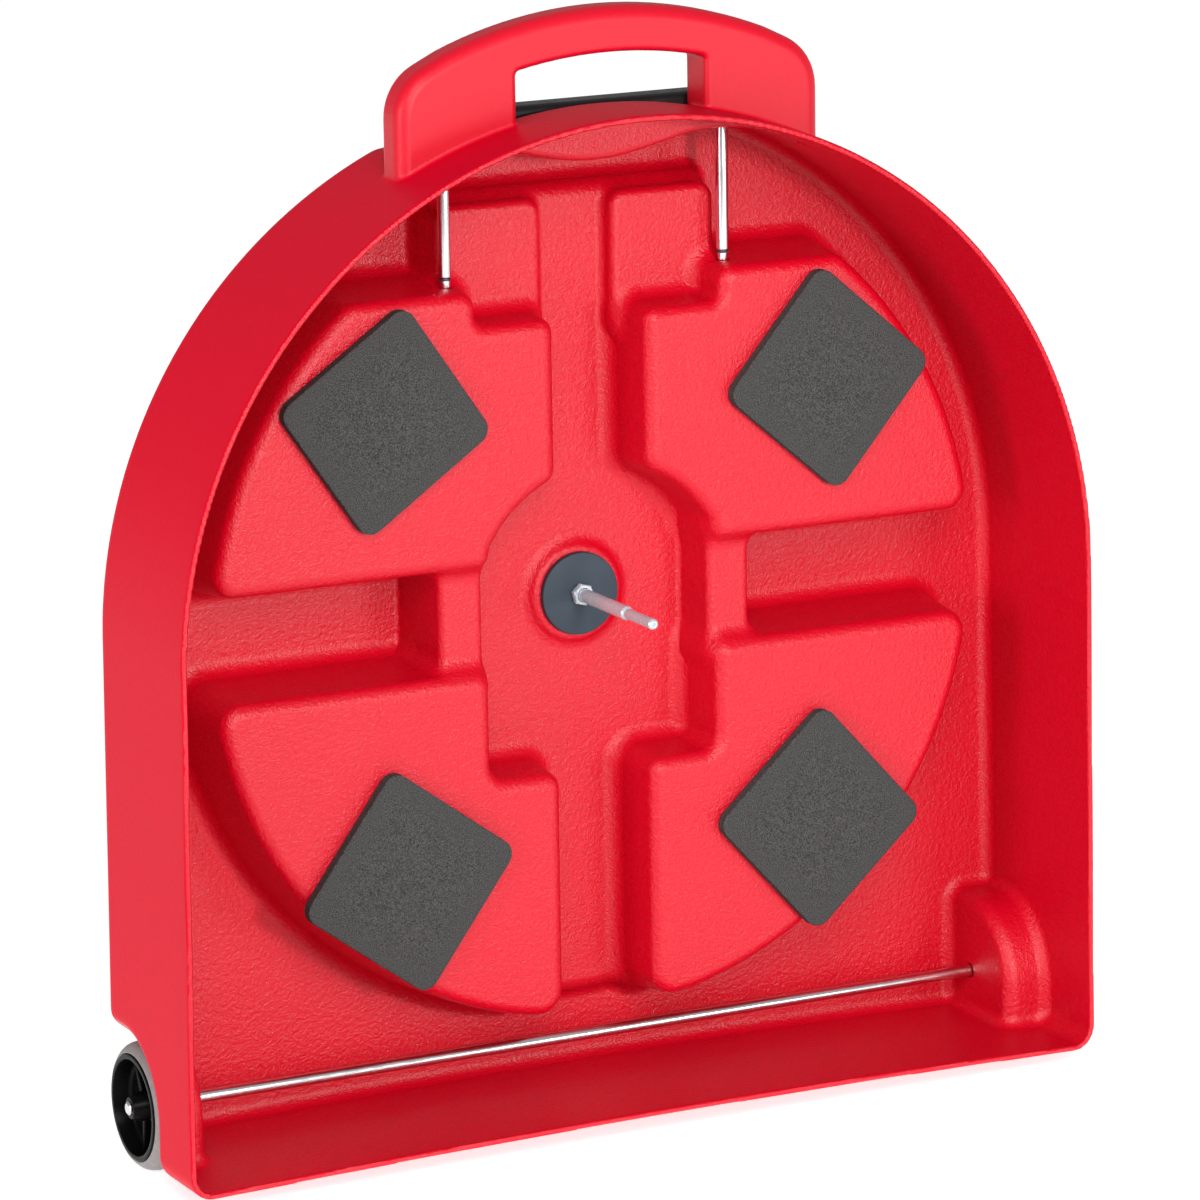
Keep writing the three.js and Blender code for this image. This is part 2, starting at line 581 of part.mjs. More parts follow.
function addPullHandle() {
  const y = wallAt(ROD_DEPTH);
  const gripZ = GRIP_BASE_Z + GRIP_HEIGHT / 2;
  addPiece("pull_grip", makeGrip(), BLACK, 0, y, gripZ);
  const rodTopZ = gripZ + ROD_TOP - GAP;
  const rodLowZ = rodTopZ - ROD_LENGTH;
  const bore = SCREW_R + GAP;
  for (const [side, label] of [[-1, "left"], [1, "right"]]) {
    const x = side * ROD_X;
    const rod = turned([[0, 0], [ROD_R, 0], [ROD_R, ROD_LENGTH], [bore, ROD_LENGTH], [bore, ROD_LENGTH - 12],
      [0, ROD_LENGTH - 12]], 20);
    addPiece(`pull_rod_${label}`, rod, CHROME, x, y, rodLowZ);
    addPiece(`rod_stop_${label}`, ring(ROD_R + GAP, STOP_R, 0, 12, 20), BLACK, x, y, rodLowZ + 2);
    const head = ROD_TOP + 2 + GAP;
    const screw = turned([[0, -6], [SCREW_R, -6], [SCREW_R, head], [SCREW_HEAD_R, head],
      [SCREW_HEAD_R, head + 1.6], [2.4, head + 2.4], [0, head + 2.4]], 12);
    addPiece(`grip_screw_${label}`, screw, STEEL, x, y, gripZ);

    const tubeTop = POCKET_Z - WALL + 1;
    const shoulder = LEDGE_Z + 4;
    const tube = turned([[ROD_R + GAP, LEDGE_Z - 9], [NECK_R, LEDGE_Z - 9], [NECK_R, shoulder + 1.6],
      [TUBE_R, shoulder + 1.6], [TUBE_R, tubeTop], [ROD_R + GAP, tubeTop]], 20);
    addPiece(`guide_tube_${label}`, tube, CHROME, x, y, 0);
    const sealRing = ring(NECK_R + GAP, TUBE_R, shoulder, shoulder + 1.2, 20);
    addPiece(`tube_ring_${label}`, sealRing, DARK_RUBBER, x, y, 0);
    const seat = POCKET_Z + GAP;
    const bush = turned([[ROD_R + GAP, tubeTop + GAP], [BUSH_R, tubeTop + GAP], [BUSH_R, seat], [9, seat],
      [9, GRIP_BASE_Z - GAP], [ROD_R + GAP, GRIP_BASE_Z - GAP]], 20);
    addPiece(`top_bush_${label}`, bush, BLACK, x, y, 0);
  }
}

// ---- Cymbal spindle ----
function addSpindle() {
  const seat = BOSS_TOP + GAP;
  const nutAt = seat + DISC_T + GAP;
  const washerAt = BOSS_TOP - WALL - GAP;
  const start = washerAt - 12;
  const shaft = turned([[0, start], [SPINDLE_R, start], [SPINDLE_R, SHOULDER - 1], [SPINDLE_R - 0.6, SHOULDER],
    [TIP_R, SHOULDER], [TIP_R, SPINDLE_END - 1.5], [TIP_R - 1, SPINDLE_END], [0, SPINDLE_END]], 24);
  addPiece("spindle", towardsFront(shaft), CHROME, 0, BACK_Y, CENTRE_Z);
  const disc = turned([[SPINDLE_R + GAP, 0], [DISC_R, 0], [DISC_R, DISC_T - 0.8], [DISC_R - 0.8, DISC_T],
    [SPINDLE_R + GAP, DISC_T]], 40);
  addPiece("cymbal_disc", towardsFront(disc), DARK_RUBBER, 0, wallAt(seat), CENTRE_Z);
  addPiece("spindle_nut", hexNut(13, SPINDLE_R + GAP, 5), CHROME, 0, wallAt(nutAt), CENTRE_Z);
  const washer = ring(SPINDLE_R + GAP, 12, -1.6, 0, 24);
  addPiece("backing_washer", towardsFront(washer), STEEL, 0, wallAt(washerAt), CENTRE_Z);
  const nut = hexNut(13, SPINDLE_R + GAP, 6);
  addPiece("backing_nut", nut, STEEL, 0, wallAt(washerAt - 1.6 - GAP - 6), CENTRE_Z);
}

// ---- Foam pads ----
function addPads() {
  for (const { label, x, z, tilt, wide, high } of PADS) {
    const shape = new THREE.Shape();
    roundOutline(rectangle(-wide / 2, wide / 2, -high / 2, high / 2, PAD_CORNER_R), 4).forEach((p, i) => {
      if (i === 0) shape.moveTo(p.x, p.y);
      else shape.lineTo(p.x, p.y);
    });
    const geometry = new THREE.ExtrudeGeometry(shape, { depth: PAD_T, bevelEnabled: false });
    geometry.rotateZ(THREE.MathUtils.degToRad(45 + tilt));
    addPiece(`foam_pad_${label}`, towardsFront(geometry), FOAM, x, wallAt(BLOCK + GAP), CENTRE_Z + z);
  }
}

addPiece("shell", makeShell(), RED);
addWheels();
addPullHandle();
addSpindle();
addPads();

export default object;
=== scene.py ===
"""Looks for the base half of a wheeled cymbal case: a moulded shell, pads, spindle, wheels and pull handle.

Lengths below are in millimetres until MM turns them into metres. X is to the right, Y runs from the
open front to the back and Z is up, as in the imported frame. "Depth" is measured forwards from the back face.
Every distance in a field is negative inside the body that it describes.
"""
import math

import bmesh
import bpy
import numpy as np
import openvdb
from mathutils import Matrix, Vector


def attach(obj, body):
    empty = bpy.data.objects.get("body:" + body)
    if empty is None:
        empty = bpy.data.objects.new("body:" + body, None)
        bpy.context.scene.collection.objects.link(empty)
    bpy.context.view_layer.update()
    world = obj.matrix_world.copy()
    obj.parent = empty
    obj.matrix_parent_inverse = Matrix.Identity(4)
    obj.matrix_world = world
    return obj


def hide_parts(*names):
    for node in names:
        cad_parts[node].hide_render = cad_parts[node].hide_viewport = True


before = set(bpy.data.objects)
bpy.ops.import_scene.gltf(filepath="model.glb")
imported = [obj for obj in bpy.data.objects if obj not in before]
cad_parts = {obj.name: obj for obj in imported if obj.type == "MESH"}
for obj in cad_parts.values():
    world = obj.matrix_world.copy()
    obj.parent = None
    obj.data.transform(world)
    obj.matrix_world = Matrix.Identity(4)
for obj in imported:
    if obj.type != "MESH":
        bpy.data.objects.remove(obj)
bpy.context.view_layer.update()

MM = 0.001

# ---- Driving dimensions of the shell ----
WALL = 4.2                  # moulded wall
BACK_Y = 61.0               # outer back face
DEPTH = 134.0               # back face to rim
LIFT = 9.0                  # underside above the floor
ARCH_R = 322.5
CENTRE_Z = LIFT + 328.0     # arch centre and spindle height
BASE_HALF = 326.0
BASE_CORNER_R = 16.0
BASE_BOW = 5.0
DRAFT = 0.11                # mould draft, sideways per unit of depth

PLATFORM = 22.0             # depths of the relief's faces
SUBBLOCK = 34.0
BRIDGE = 55.0
BLOCK = 67.0
BLOCK_R = 272.0             # round outer sides of the four blocks
PLATFORM_R = BLOCK_R - 3
CHANNEL_HALF = 33.0
BASIN_HALF = 82.0
BASIN_R = 91.0
BASIN_LOW = -108.0          # this height and those below, down to SUBBLOCK_TOP, are from the arch's centre
CROSS_TOP = 33.0
CROSS_LOW = -36.0
LEDGE_LOW = 187.0
LEDGE_HIGH = 209.0
LEDGE_STEP = 87.0
PLATFORM_HALF = 100.0
PLATFORM_TOP = 265.0
SUBBLOCK_IN = 25.0
SUBBLOCK_OUT = 99.0
SUBBLOCK_TOP = 259.0
BRIDGE_IN = 81.0
BRIDGE_OUT = 111.0
BOSS_TOP = 28.0
BOSS_TOP_R = 30.0
BOSS_FLARE = 5.5 / 6.0      # widening of the boss per unit of depth

WHEEL_R = 41.5
WHEEL_W = 24.0
WHEEL_FACE_X = 321.0
AXLE_R = 4.0
AXLE_DEPTH = 29.5
AXLE_Z = WHEEL_R
WELL_R = 48.0
WELL_DEPTH = 27.0
WELL_FACE_X = 295.0
WELL_EDGE = 9.0

ROD_X = 98.7
ROD_DEPTH = 45.5
BUSH_HOLE_R = 6.8
NECK_HOLE_R = 3.7
HANDLE_HALF = 148.0
HANDLE_TOP_Z = LIFT + 713.0
HANDLE_ARC_R = 300.0
HANDLE_CORNER_R = 36.0
HANDLE_FRONT = 87.0
HANDLE_BACK = 58.5
SLOT_HALF = 66.0
SLOT_CORNER_R = 3.0
SLOT_TOP_Z = LIFT + 684.0
POCKET_DEPTH = 59.5
POCKET_Z = LIFT + 630.0
POCKET_HALF = 124.0
SCALLOP_HALF = 58.0
SCALLOP_DROP = 13.0
SCALLOP_FILLET = 14.0
HANDLE_ROOT = 22.0          # how far the handle's outline runs on inside the arch's
CORE_ROOT = 8.0             # the same for its hollow core, below the arch's wall
HANDLE_SINK = 0.6           # how far the handle reaches into the arch's wall
HANDLE_EDGE = 9.0
SLOT_EDGE = 4.0

WALL_FILLET = 8.0           # where the back meets the sides
RIM_EDGE = 1.2
WELL_FILLET = 8.0
POCKET_EDGE = 6.0
POCKET_FILLET = 7.0
BOSS_EDGE = 1.5
BOSS_FILLET = 3.0
HANDLE_FILLET = 2.5

GAP = 0.3                   # running and seating clearance
VOXEL = 1.6   # sampling step of the shell
SHELL_TRIANGLES = 185000


# ---- Camera ----
VIEW_ANGLES = (-27.167, 12.924, -0.792)     # azimuth, elevation and roll in degrees
VIEW_TARGET = (44.46, BACK_Y, 326.8)
VIEW_DISTANCE = 3978.4
SENSOR = 36.0               # width, with the focal length below
LENS = 183.4
LENS_SHIFT = (-0.0161, -0.0071)


def add_camera():
    azimuth, elevation, roll = (math.radians(angle) for angle in VIEW_ANGLES)
    target = Vector(VIEW_TARGET) * MM
    distance = VIEW_DISTANCE * MM
    level = math.cos(elevation)
    back = Vector((math.sin(azimuth) * level, -math.cos(azimuth) * level, math.sin(elevation)))
    right = Vector((math.cos(azimuth), math.sin(azimuth), 0))
    up = back.cross(right)
    level_right, level_up = right.copy(), up.copy()
    right = level_right * math.cos(roll) + level_up * math.sin(roll)
    up = level_up * math.cos(roll) - level_right * math.sin(roll)
    camera = bpy.data.objects.new("Camera", bpy.data.cameras.new("Camera"))
    camera.matrix_world = Matrix.Translation(target + back * distance) @ Matrix(
        (right, up, back)).transposed().to_4x4()
    camera.data.sensor_width = SENSOR
    camera.data.lens = LENS
    camera.data.shift_x, camera.data.shift_y = LENS_SHIFT
    camera.data.clip_end = 100.0
    bpy.context.scene.collection.objects.link(camera)
    bpy.context.scene.camera = camera


# ---- Outlines in X and Z ----
def arc(cx, cz, radius, start, end, steps):
    angles = np.radians(np.linspace(start, end, steps + 1))
    return [(cx + radius * math.cos(a), cz + radius * math.sin(a), 0.0) for a in angles]


def rounded(corners, steps=8):
    """Points of a closed outline whose corners are (x, z, radius)."""
    points = []
    count = len(corners)
    for i, (x, z, radius) in enumerate(corners):
        here = Vector((x, z))
        if radius == 0:
            points.append(here)
            continue
        before = (Vector(corners[i - 1][:2]) - here).normalized()
        after = (Vector(corners[(i + 1) % count][:2]) - here).normalized()
        half = math.acos(max(-1.0, min(1.0, before.dot(after)))) / 2
        middle = here + (before + after).normalized() * (radius / math.sin(half))
        start = here + before * (radius / math.tan(half)) - middle
        end = here + after * (radius / math.tan(half)) - middle
        sweep = math.atan2(start.x * end.y - start.y * end.x, start.dot(end))
        for k in range(steps + 1):
            points.append(middle + Matrix.Rotation(sweep * k / steps, 2) @ start)
    return points


def width_at(height, radius):
    return math.sqrt(radius * radius - height * height)


def angle_at(height, radius):
    return math.degrees(math.asin(height / radius))


def from_centre(corners):
    return [(x, z + CENTRE_Z, r) for x, z, r in corners]


def shell_outline():
    corner_x = BASE_HALF - BASE_CORNER_R
    corner_z = LIFT + BASE_CORNER_R
    bow = []
    for share in np.linspace(-0.9, 0.9, 13):
        bow.append((share * corner_x, LIFT + BASE_BOW * (1 - share * share), 0.0))
    return (arc(0, CENTRE_Z, ARCH_R, 0, 180, 360) + arc(-corner_x, corner_z, BASE_CORNER_R, 180, 270, 14)
            + bow + arc(corner_x, corner_z, BASE_CORNER_R, 270, 360, 14))


def upper_block():
    """Only the points of each arc that lie between the rounded corners are kept, as in lower_block."""
    basin = arc(0, 0, BASIN_R, math.degrees(math.acos(CHANNEL_HALF / BASIN_R)),
                math.degrees(math.acos(BASIN_HALF / BASIN_R)), 10)[1:-1]
    rim = arc(0, 0, BLOCK_R, angle_at(CROSS_TOP, BLOCK_R), angle_at(LEDGE_HIGH, BLOCK_R), 80)[7:-6]
    return from_centre([
        (BASIN_HALF, CROSS_TOP, 9), (width_at(CROSS_TOP, BLOCK_R), CROSS_TOP, 13), *rim,
        (width_at(LEDGE_HIGH, BLOCK_R), LEDGE_HIGH, 12), (LEDGE_STEP, LEDGE_HIGH, 10),
        (LEDGE_STEP, LEDGE_LOW, 8), (CHANNEL_HALF, LEDGE_LOW, 8),
        (CHANNEL_HALF, width_at(CHANNEL_HALF, BASIN_R), 10), *basin])


def lower_block():
    rim = arc(0, 0, BLOCK_R, -angle_at(width_at(CHANNEL_HALF, BLOCK_R), BLOCK_R),
              angle_at(CROSS_LOW, BLOCK_R), 120)[11:-7]
    return from_centre([
        (CHANNEL_HALF, -width_at(CHANNEL_HALF, BLOCK_R), 16), *rim,
        (width_at(CROSS_LOW, BLOCK_R), CROSS_LOW, 14), (BASIN_HALF, CROSS_LOW, 9),
        (BASIN_HALF, BASIN_LOW, 12), (CHANNEL_HALF, BASIN_LOW, 9)])


def platform():
    low = math.degrees(math.acos(PLATFORM_HALF / PLATFORM_R))
    return from_centre(arc(0, 0, PLATFORM_R, -180 + low, -low, 12)
                       + [(PLATFORM_HALF, PLATFORM_TOP, 10), (-PLATFORM_HALF, PLATFORM_TOP, 10)])


def rectangle(x0, x1, z0, z1, radius):
    return from_centre([(x0, z0, radius), (x1, z0, radius), (x1, z1, radius), (x0, z1, radius)])


def subblock():
    """The low block beside the upper channel, which runs on under the ledge."""
    return rectangle(SUBBLOCK_IN, SUBBLOCK_OUT, LEDGE_LOW - 20, SUBBLOCK_TOP, 10)


def bridge():
    """The bar across the side channel, which runs on under both blocks."""
    return rectangle(BRIDGE_IN, BRIDGE_OUT, CROSS_LOW - 12, CROSS_TOP + 12, 4)


def handle_outline(inset, foot_r):
    """The carry handle drawn in by an inset, with a foot that follows the arch at its own radius."""
    half = HANDLE_HALF - inset
    radius = HANDLE_ARC_R - inset
    corner_r = HANDLE_CORNER_R - inset
    centre_z = HANDLE_TOP_Z - HANDLE_ARC_R
    foot = math.degrees(math.acos(half / foot_r))
    top = math.degrees(math.acos((half - corner_r) / radius))
    corner_z = centre_z + width_at(half, radius)
    return (arc(0, CENTRE_Z, foot_r, 180 - foot, foot, 24) + [(half, corner_z, corner_r)]
            + arc(0, centre_z, radius, top, 180 - top, 24) + [(-half, corner_z, corner_r)])


def slot_outline():
    centre_z = SLOT_TOP_Z - HANDLE_ARC_R
    top = math.degrees(math.acos((SLOT_HALF - 2 * SLOT_CORNER_R) / HANDLE_ARC_R))
    low_z = CENTRE_Z + width_at(SLOT_HALF, ARCH_R) - 30
    corner_z = centre_z + width_at(SLOT_HALF, HANDLE_ARC_R)
    return ([(-SLOT_HALF, low_z, 0), (SLOT_HALF, low_z, 0), (SLOT_HALF, corner_z, SLOT_CORNER_R)]
            + arc(0, centre_z, HANDLE_ARC_R, top, 180 - top, 16) + [(-SLOT_HALF, corner_z, SLOT_CORNER_R)])


# ---- Distance fields ----
def outline_distance(points, x, z):
    best = np.full(x.shape, np.inf, np.float32)
    inside = np.zeros(x.shape, bool)
    for i, here in enumerate(points):
        after = points[(i + 1) % len(points)]
        ex, ez = after.x - here.x, after.y - here.y
        along = np.clip(((x - here.x) * ex + (z - here.y) * ez) / (ex * ex + ez * ez), 0, 1)
        best = np.minimum(best, (x - here.x - along * ex) ** 2 + (z - here.y - along * ez) ** 2)
        if ez != 0:
            inside ^= ((here.y > z) != (after.y > z)) & (x < here.x + (z - here.y) * ex / ez)
    return np.where(inside, -1, 1) * np.sqrt(best)


def join(a, b, radius):
    """Union with a concave fillet."""
    corner = np.hypot(np.maximum(radius - a, 0), np.maximum(radius - b, 0))
    return np.maximum(radius, np.minimum(a, b)) - corner


def meet(a, b, radius):
    """Intersection with a rounded edge."""
    corner = np.hypot(np.maximum(radius + a, 0), np.maximum(radius + b, 0))
    return np.minimum(-radius, np.maximum(a, b)) + corner


class ShellShape:
    """The shell over points of X >= 0 and Z, at one depth or at a depth for each point."""

    def __init__(self, x, z):
        self.x, self.z = x, z
        self.wall = -(outline_distance(rounded(shell_outline()), x, z) + WALL)
        plan = [  # outline, depth of its face, edge radius, root radius
            (platform(), PLATFORM, 10, 8),
            (subblock(), SUBBLOCK, 5, 5),
            (bridge(), BRIDGE, 5, 3),
            (upper_block(), BLOCK, 8, 10),
            (lower_block(), BLOCK, 8, 10),
        ]
        self.relief = []
        for outline, top, edge, root in plan:
            self.relief.append((outline_distance(rounded(outline), x, z), top, edge, root))
        self.from_middle = np.hypot(x, z - CENTRE_Z)
        scallop_r = (SCALLOP_HALF ** 2 + SCALLOP_DROP ** 2) / (2 * SCALLOP_DROP)
        scallop = np.hypot(x, z - (POCKET_Z - SCALLOP_DROP + scallop_r)) - scallop_r
        pocket = meet(POCKET_Z - z, x - POCKET_HALF, 4)
        self.pocket = join(pocket, scallop, SCALLOP_FILLET) - WALL
        self.handle = outline_distance(rounded(handle_outline(0, ARCH_R - HANDLE_ROOT)), x, z)
        self.core = outline_distance(rounded(handle_outline(WALL, ARCH_R - WALL - CORE_ROOT)), x, z)
        self.slot = outline_distance(rounded(slot_outline()), x, z)

    def well(self, depth):
        forward = depth - WELL_DEPTH
        rise = self.z - AXLE_Z
        corner = np.hypot(np.maximum(forward, 0), np.maximum(rise, 0))
        profile = corner + np.minimum(np.maximum(forward, rise), 0) - WELL_R - WALL
        return meet(profile, WELL_FACE_X - WALL - self.x, WELL_EDGE)

    def skin(self, depth):
        """Positive in the open space in front of the skin, and minus the wall at its outer side."""
        space = join(depth - WALL, self.wall, WALL_FILLET)
        for outline, top, edge, root in self.relief:
            space = join(space, meet(outline - DRAFT * (top - depth), depth - top, edge), root)
        flank = (self.from_middle - BOSS_TOP_R - BOSS_FLARE * (BOSS_TOP - depth)) / math.hypot(1, BOSS_FLARE)
        space = join(space, meet(flank, depth - BOSS_TOP, BOSS_EDGE), BOSS_FILLET)
        space = join(space, self.well(depth), WELL_FILLET)
        return join(space, meet(self.pocket, depth - POCKET_DEPTH - WALL, POCKET_EDGE), POCKET_FILLET)

    def solid(self, depth):
        """The moulded wall with the hollow carry handle."""
        body = np.abs(self.skin(depth) + WALL / 2) - WALL / 2
        body = meet(body, depth - DEPTH, RIM_EDGE)
        middle = (HANDLE_BACK + HANDLE_FRONT) / 2
        reach = np.abs(depth - middle) - (HANDLE_FRONT - HANDLE_BACK) / 2
        handle = meet(meet(self.handle, reach, HANDLE_EDGE), -self.slot, SLOT_EDGE)
        handle = np.maximum(handle, ARCH_R - HANDLE_SINK - self.from_middle)
        body = join(body, handle, HANDLE_FILLET)
        core_reach = np.maximum(POCKET_DEPTH + WALL - depth, depth - HANDLE_FRONT + WALL)
        core = np.maximum(np.maximum(self.core, core_reach), WALL - self.slot)
        return np.maximum(body, -core)

    def at(self, y):
        """The shell with the holes that the rods, tubes and axle pass through, at a Y of the frame."""
        body = self.solid(BACK_Y - y)
        across = np.hypot(self.x - ROD_X, y - (BACK_Y - ROD_DEPTH))
        ledge_z = CENTRE_Z + LEDGE_HIGH
        bush_hole = (BUSH_HOLE_R, POCKET_Z - 15, POCKET_Z + 15)
        neck_hole = (NECK_HOLE_R, ledge_z - 20, ledge_z + 12)
        for hole_r, low, high in (bush_hole, neck_hole):
            along = np.abs(self.z - (low + high) / 2) - (high - low) / 2
            body = np.maximum(body, -np.maximum(across - hole_r, along))
        axle = np.hypot(y - (BACK_Y - AXLE_DEPTH), self.z - AXLE_Z) - AXLE_R - GAP
        return np.maximum(body, -np.maximum(axle, WELL_FACE_X - 20 - self.x))


def new_object(name, mesh):
    obj = bpy.data.objects.new(name, mesh)
    bpy.context.scene.collection.objects.link(obj)
    return obj


def smooth(obj, angle):
    obj.data.shade_smooth()
    obj.data.set_sharp_from_angle(angle=math.radians(angle))
    return obj


def keep_modifiers(obj):
    """Turns the object's mesh into its modified one."""
    graph = bpy.context.evaluated_depsgraph_get()
    mesh = bpy.data.meshes.new_from_object(obj.evaluated_get(graph))
    obj.modifiers.clear()
    obj.data = mesh
    return obj


def positions(mesh):
    co = np.empty(len(mesh.vertices) * 3, np.float32)
    mesh.vertices.foreach_get("co", co)
    return co.reshape(-1, 3)


def keep_field_normals(mesh):
    """Gives each vertex the direction in which the shell's distance rises, taken over a small step."""
    co = positions(mesh).astype(np.float64) / MM
    x, y, z = np.abs(co[:, 0]), co[:, 1], co[:, 2]
    step = 0.2
    here = ShellShape(x, z)
    value = here.at(y)
    rise_x = ShellShape(x + step, z).at(y) - value
    rise_z = ShellShape(x, z + step).at(y) - value
    normals = np.column_stack((rise_x * np.sign(co[:, 0]), here.at(y + step) - value, rise_z))
    normals /= np.maximum(np.linalg.norm(normals, axis=1), 1e-9)[:, None]
    mesh.normals_split_custom_set_from_vertices(normals.tolist())


def paint_shell(mesh):
    """Leathery grain inside and at the back, smoother outer sides and a smoother handle."""
    for material in (RED, RED_OUTSIDE, RED_HANDLE):
        mesh.materials.append(material)
    middles = np.empty(len(mesh.polygons) * 3, np.float32)
    mesh.polygons.foreach_get("center", middles)
    x, y, z = (middles.reshape(-1, 3) / MM).T
    from_side = outline_distance(rounded(shell_outline()), x, z)
    above_arch = np.hypot(x, z - CENTRE_Z) > ARCH_R + 0.8
    in_handle = above_arch & (z > CENTRE_Z + LEDGE_HIGH)
    outside = (from_side > -1.0) & (BACK_Y - y < DEPTH - RIM_EDGE / 2)
    mesh.polygons.foreach_set("material_index", np.where(in_handle, 2, outside).astype(np.int32))


def make_shell():
    half_x = np.arange(VOXEL / 2, BASE_HALF + 4, VOXEL)
    ys = np.arange(BACK_Y - DEPTH - 3 * VOXEL, BACK_Y + 3 * VOXEL, VOXEL)
    zs = np.arange(LIFT - 3 * VOXEL, HANDLE_TOP_Z + 3 * VOXEL, VOXEL)
    x, z = np.meshgrid(half_x, zs, indexing="ij")
    shape = ShellShape(x.astype(np.float32), z.astype(np.float32))
    band = 3 * VOXEL
    half = np.empty((len(half_x), len(ys), len(zs)), np.float32)
    for i, y in enumerate(ys):
        half[:, i] = np.clip(shape.at(y), -band, band)
    field = np.concatenate([half[::-1], half])
    start = np.array([-half_x[-1], ys[0], zs[0]])
    grid = openvdb.FloatGrid(band)
    grid.copyFromArray(field)
    points, triangles, quads = grid.convertToPolygons(isovalue=0.0, adaptivity=0.0)
    mesh = bpy.data.meshes.new("case_shell")
    mesh.from_pydata((points * VOXEL + start) * MM, [], [*quads.tolist(), *triangles.tolist()])
    shell = new_object("case_shell", mesh)
    mesh.shade_smooth()
    fewer = shell.modifiers.new("Fewer", "DECIMATE")
    fewer.ratio = min(1, SHELL_TRIANGLES / (2 * len(mesh.polygons)))
    fewer.use_collapse_triangulate = True
    keep_modifiers(shell)
    keep_field_normals(shell.data)
    paint_shell(shell.data)
    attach(shell, "case")
    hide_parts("shell")


# ---- Turned and lofted pieces ----
def place(bm, name, at, axis):
    """Makes an object of a piece built about Z, turned to its axis and moved to its point."""
    bmesh.ops.recalc_face_normals(bm, faces=bm.faces)
    mesh = bpy.data.meshes.new(name)
    bm.to_mesh(mesh)
    bm.free()
    turn = Vector((0, 0, 1)).rotation_difference(Vector(axis)).to_matrix().to_4x4()
    mesh.transform(Matrix.Translation(Vector(at) * MM) @ turn @ Matrix.Scale(MM, 4))
    return new_object(name, mesh)


def add_turned(bm, corners, segments=96):
    """Turns (radius, height[, fillet]) corners about Z."""
    profile = rounded([(*corner, 0.0)[:3] for corner in corners], steps=4)
    angles = [2 * math.pi * i / segments for i in range(segments)]
    rings = []
    for p in profile:
        if p.x < 1e-4:
            rings.append([bm.verts.new((0, 0, p.y))] * segments)
        else:
            rings.append([bm.verts.new((p.x * math.cos(a), p.x * math.sin(a), p.y)) for a in angles])
    for ring, after in zip(rings, rings[1:] + rings[:1]):
        for i in range(segments):
            k = (i + 1) % segments
            face = list(dict.fromkeys((ring[i], ring[k], after[k], after[i])))
            if len(face) > 2:
                bm.faces.new(face)


def turned(name, corners, at, axis=(0, 0, 1), segments=96):
    bm = bmesh.new()
    add_turned(bm, corners, segments)
    return smooth(place(bm, name, at, axis), 32)


def add_loft(bm, rings):
    """Joins closed rings of equal length and caps both ends."""
    rows = [[bm.verts.new(p) for p in ring] for ring in rings]
    count = len(rows[0])
    for row, after in zip(rows, rows[1:]):
        for i in range(count):
            k = (i + 1) % count
            bm.faces.new((row[i], row[k], after[k], after[i]))
    bm.faces.new(rows[0])
    bm.faces.new(rows[-1])


def thread(radius, low, high, pitch, cut):
    """Corners of a run of thread, going up."""
    turns = int((high - low) / pitch)
    corners = []
    for i in range(turns):
        base = low + i * pitch
        corners += [(radius, base + 0.15 * pitch), (radius - cut, base + 0.6 * pitch)]
    return corners + [(radius, high)]


def finish_piece(obj, material, body, slot, *nodes):
    obj.data.materials.clear()
    obj.data.materials.append(material)
    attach(obj, body)
    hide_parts(*nodes)
    return obj


def nut(name, flats, bore, thickness, at, axis, twist):
    """A hexagon nut whose corners are chamfered by a cone."""
    corner = flats / math.sqrt(3)
    chamfer = 0.18 * thickness
    face_r = flats * 0.48
    levels = [(bore, 0.0), (bore + 0.8, 0.0), (face_r, 0.0), (corner, chamfer), (corner, thickness - chamfer),
              (face_r, thickness), (bore + 0.8, thickness), (bore, thickness)]
    bm = bmesh.new()
    segments = 72
    rows = []
    for radius, height in levels:
        row = []
        for i in range(segments):
            angle = 2 * math.pi * i / segments
            hexagon = flats / 2 / math.cos((angle + math.pi / 6) % (math.pi / 3) - math.pi / 6)
            r = min(radius, hexagon)
            row.append(bm.verts.new((r * math.cos(angle + twist), r * math.sin(angle + twist), height)))
        rows.append(row)
    for row, after in zip(rows, rows[1:] + rows[:1]):
        for i in range(segments):
            k = (i + 1) % segments
            bm.faces.new((row[i], row[k], after[k], after[i]))
    return smooth(place(bm, name, at, axis), 20)


# ---- Materials ----
def noise(tree, place_from, scale, detail=3.0):
    node = tree.nodes.new("ShaderNodeTexNoise")
    node.inputs["Scale"].default_value = scale
    node.inputs["Detail"].default_value = detail
    tree.links.new(place_from, node.inputs["Vector"])
    return node.outputs["Fac"]


def spread(tree, value, low, high):
    """Maps the middle of a noise's range to low..high."""
    node = tree.nodes.new("ShaderNodeMapRange")
    node.inputs["From Min"].default_value = 0.3
    node.inputs["From Max"].default_value = 0.7
    node.inputs["To Min"].default_value = low
    node.inputs["To Max"].default_value = high
    tree.links.new(value, node.inputs["Value"])
    return node.outputs["Result"]


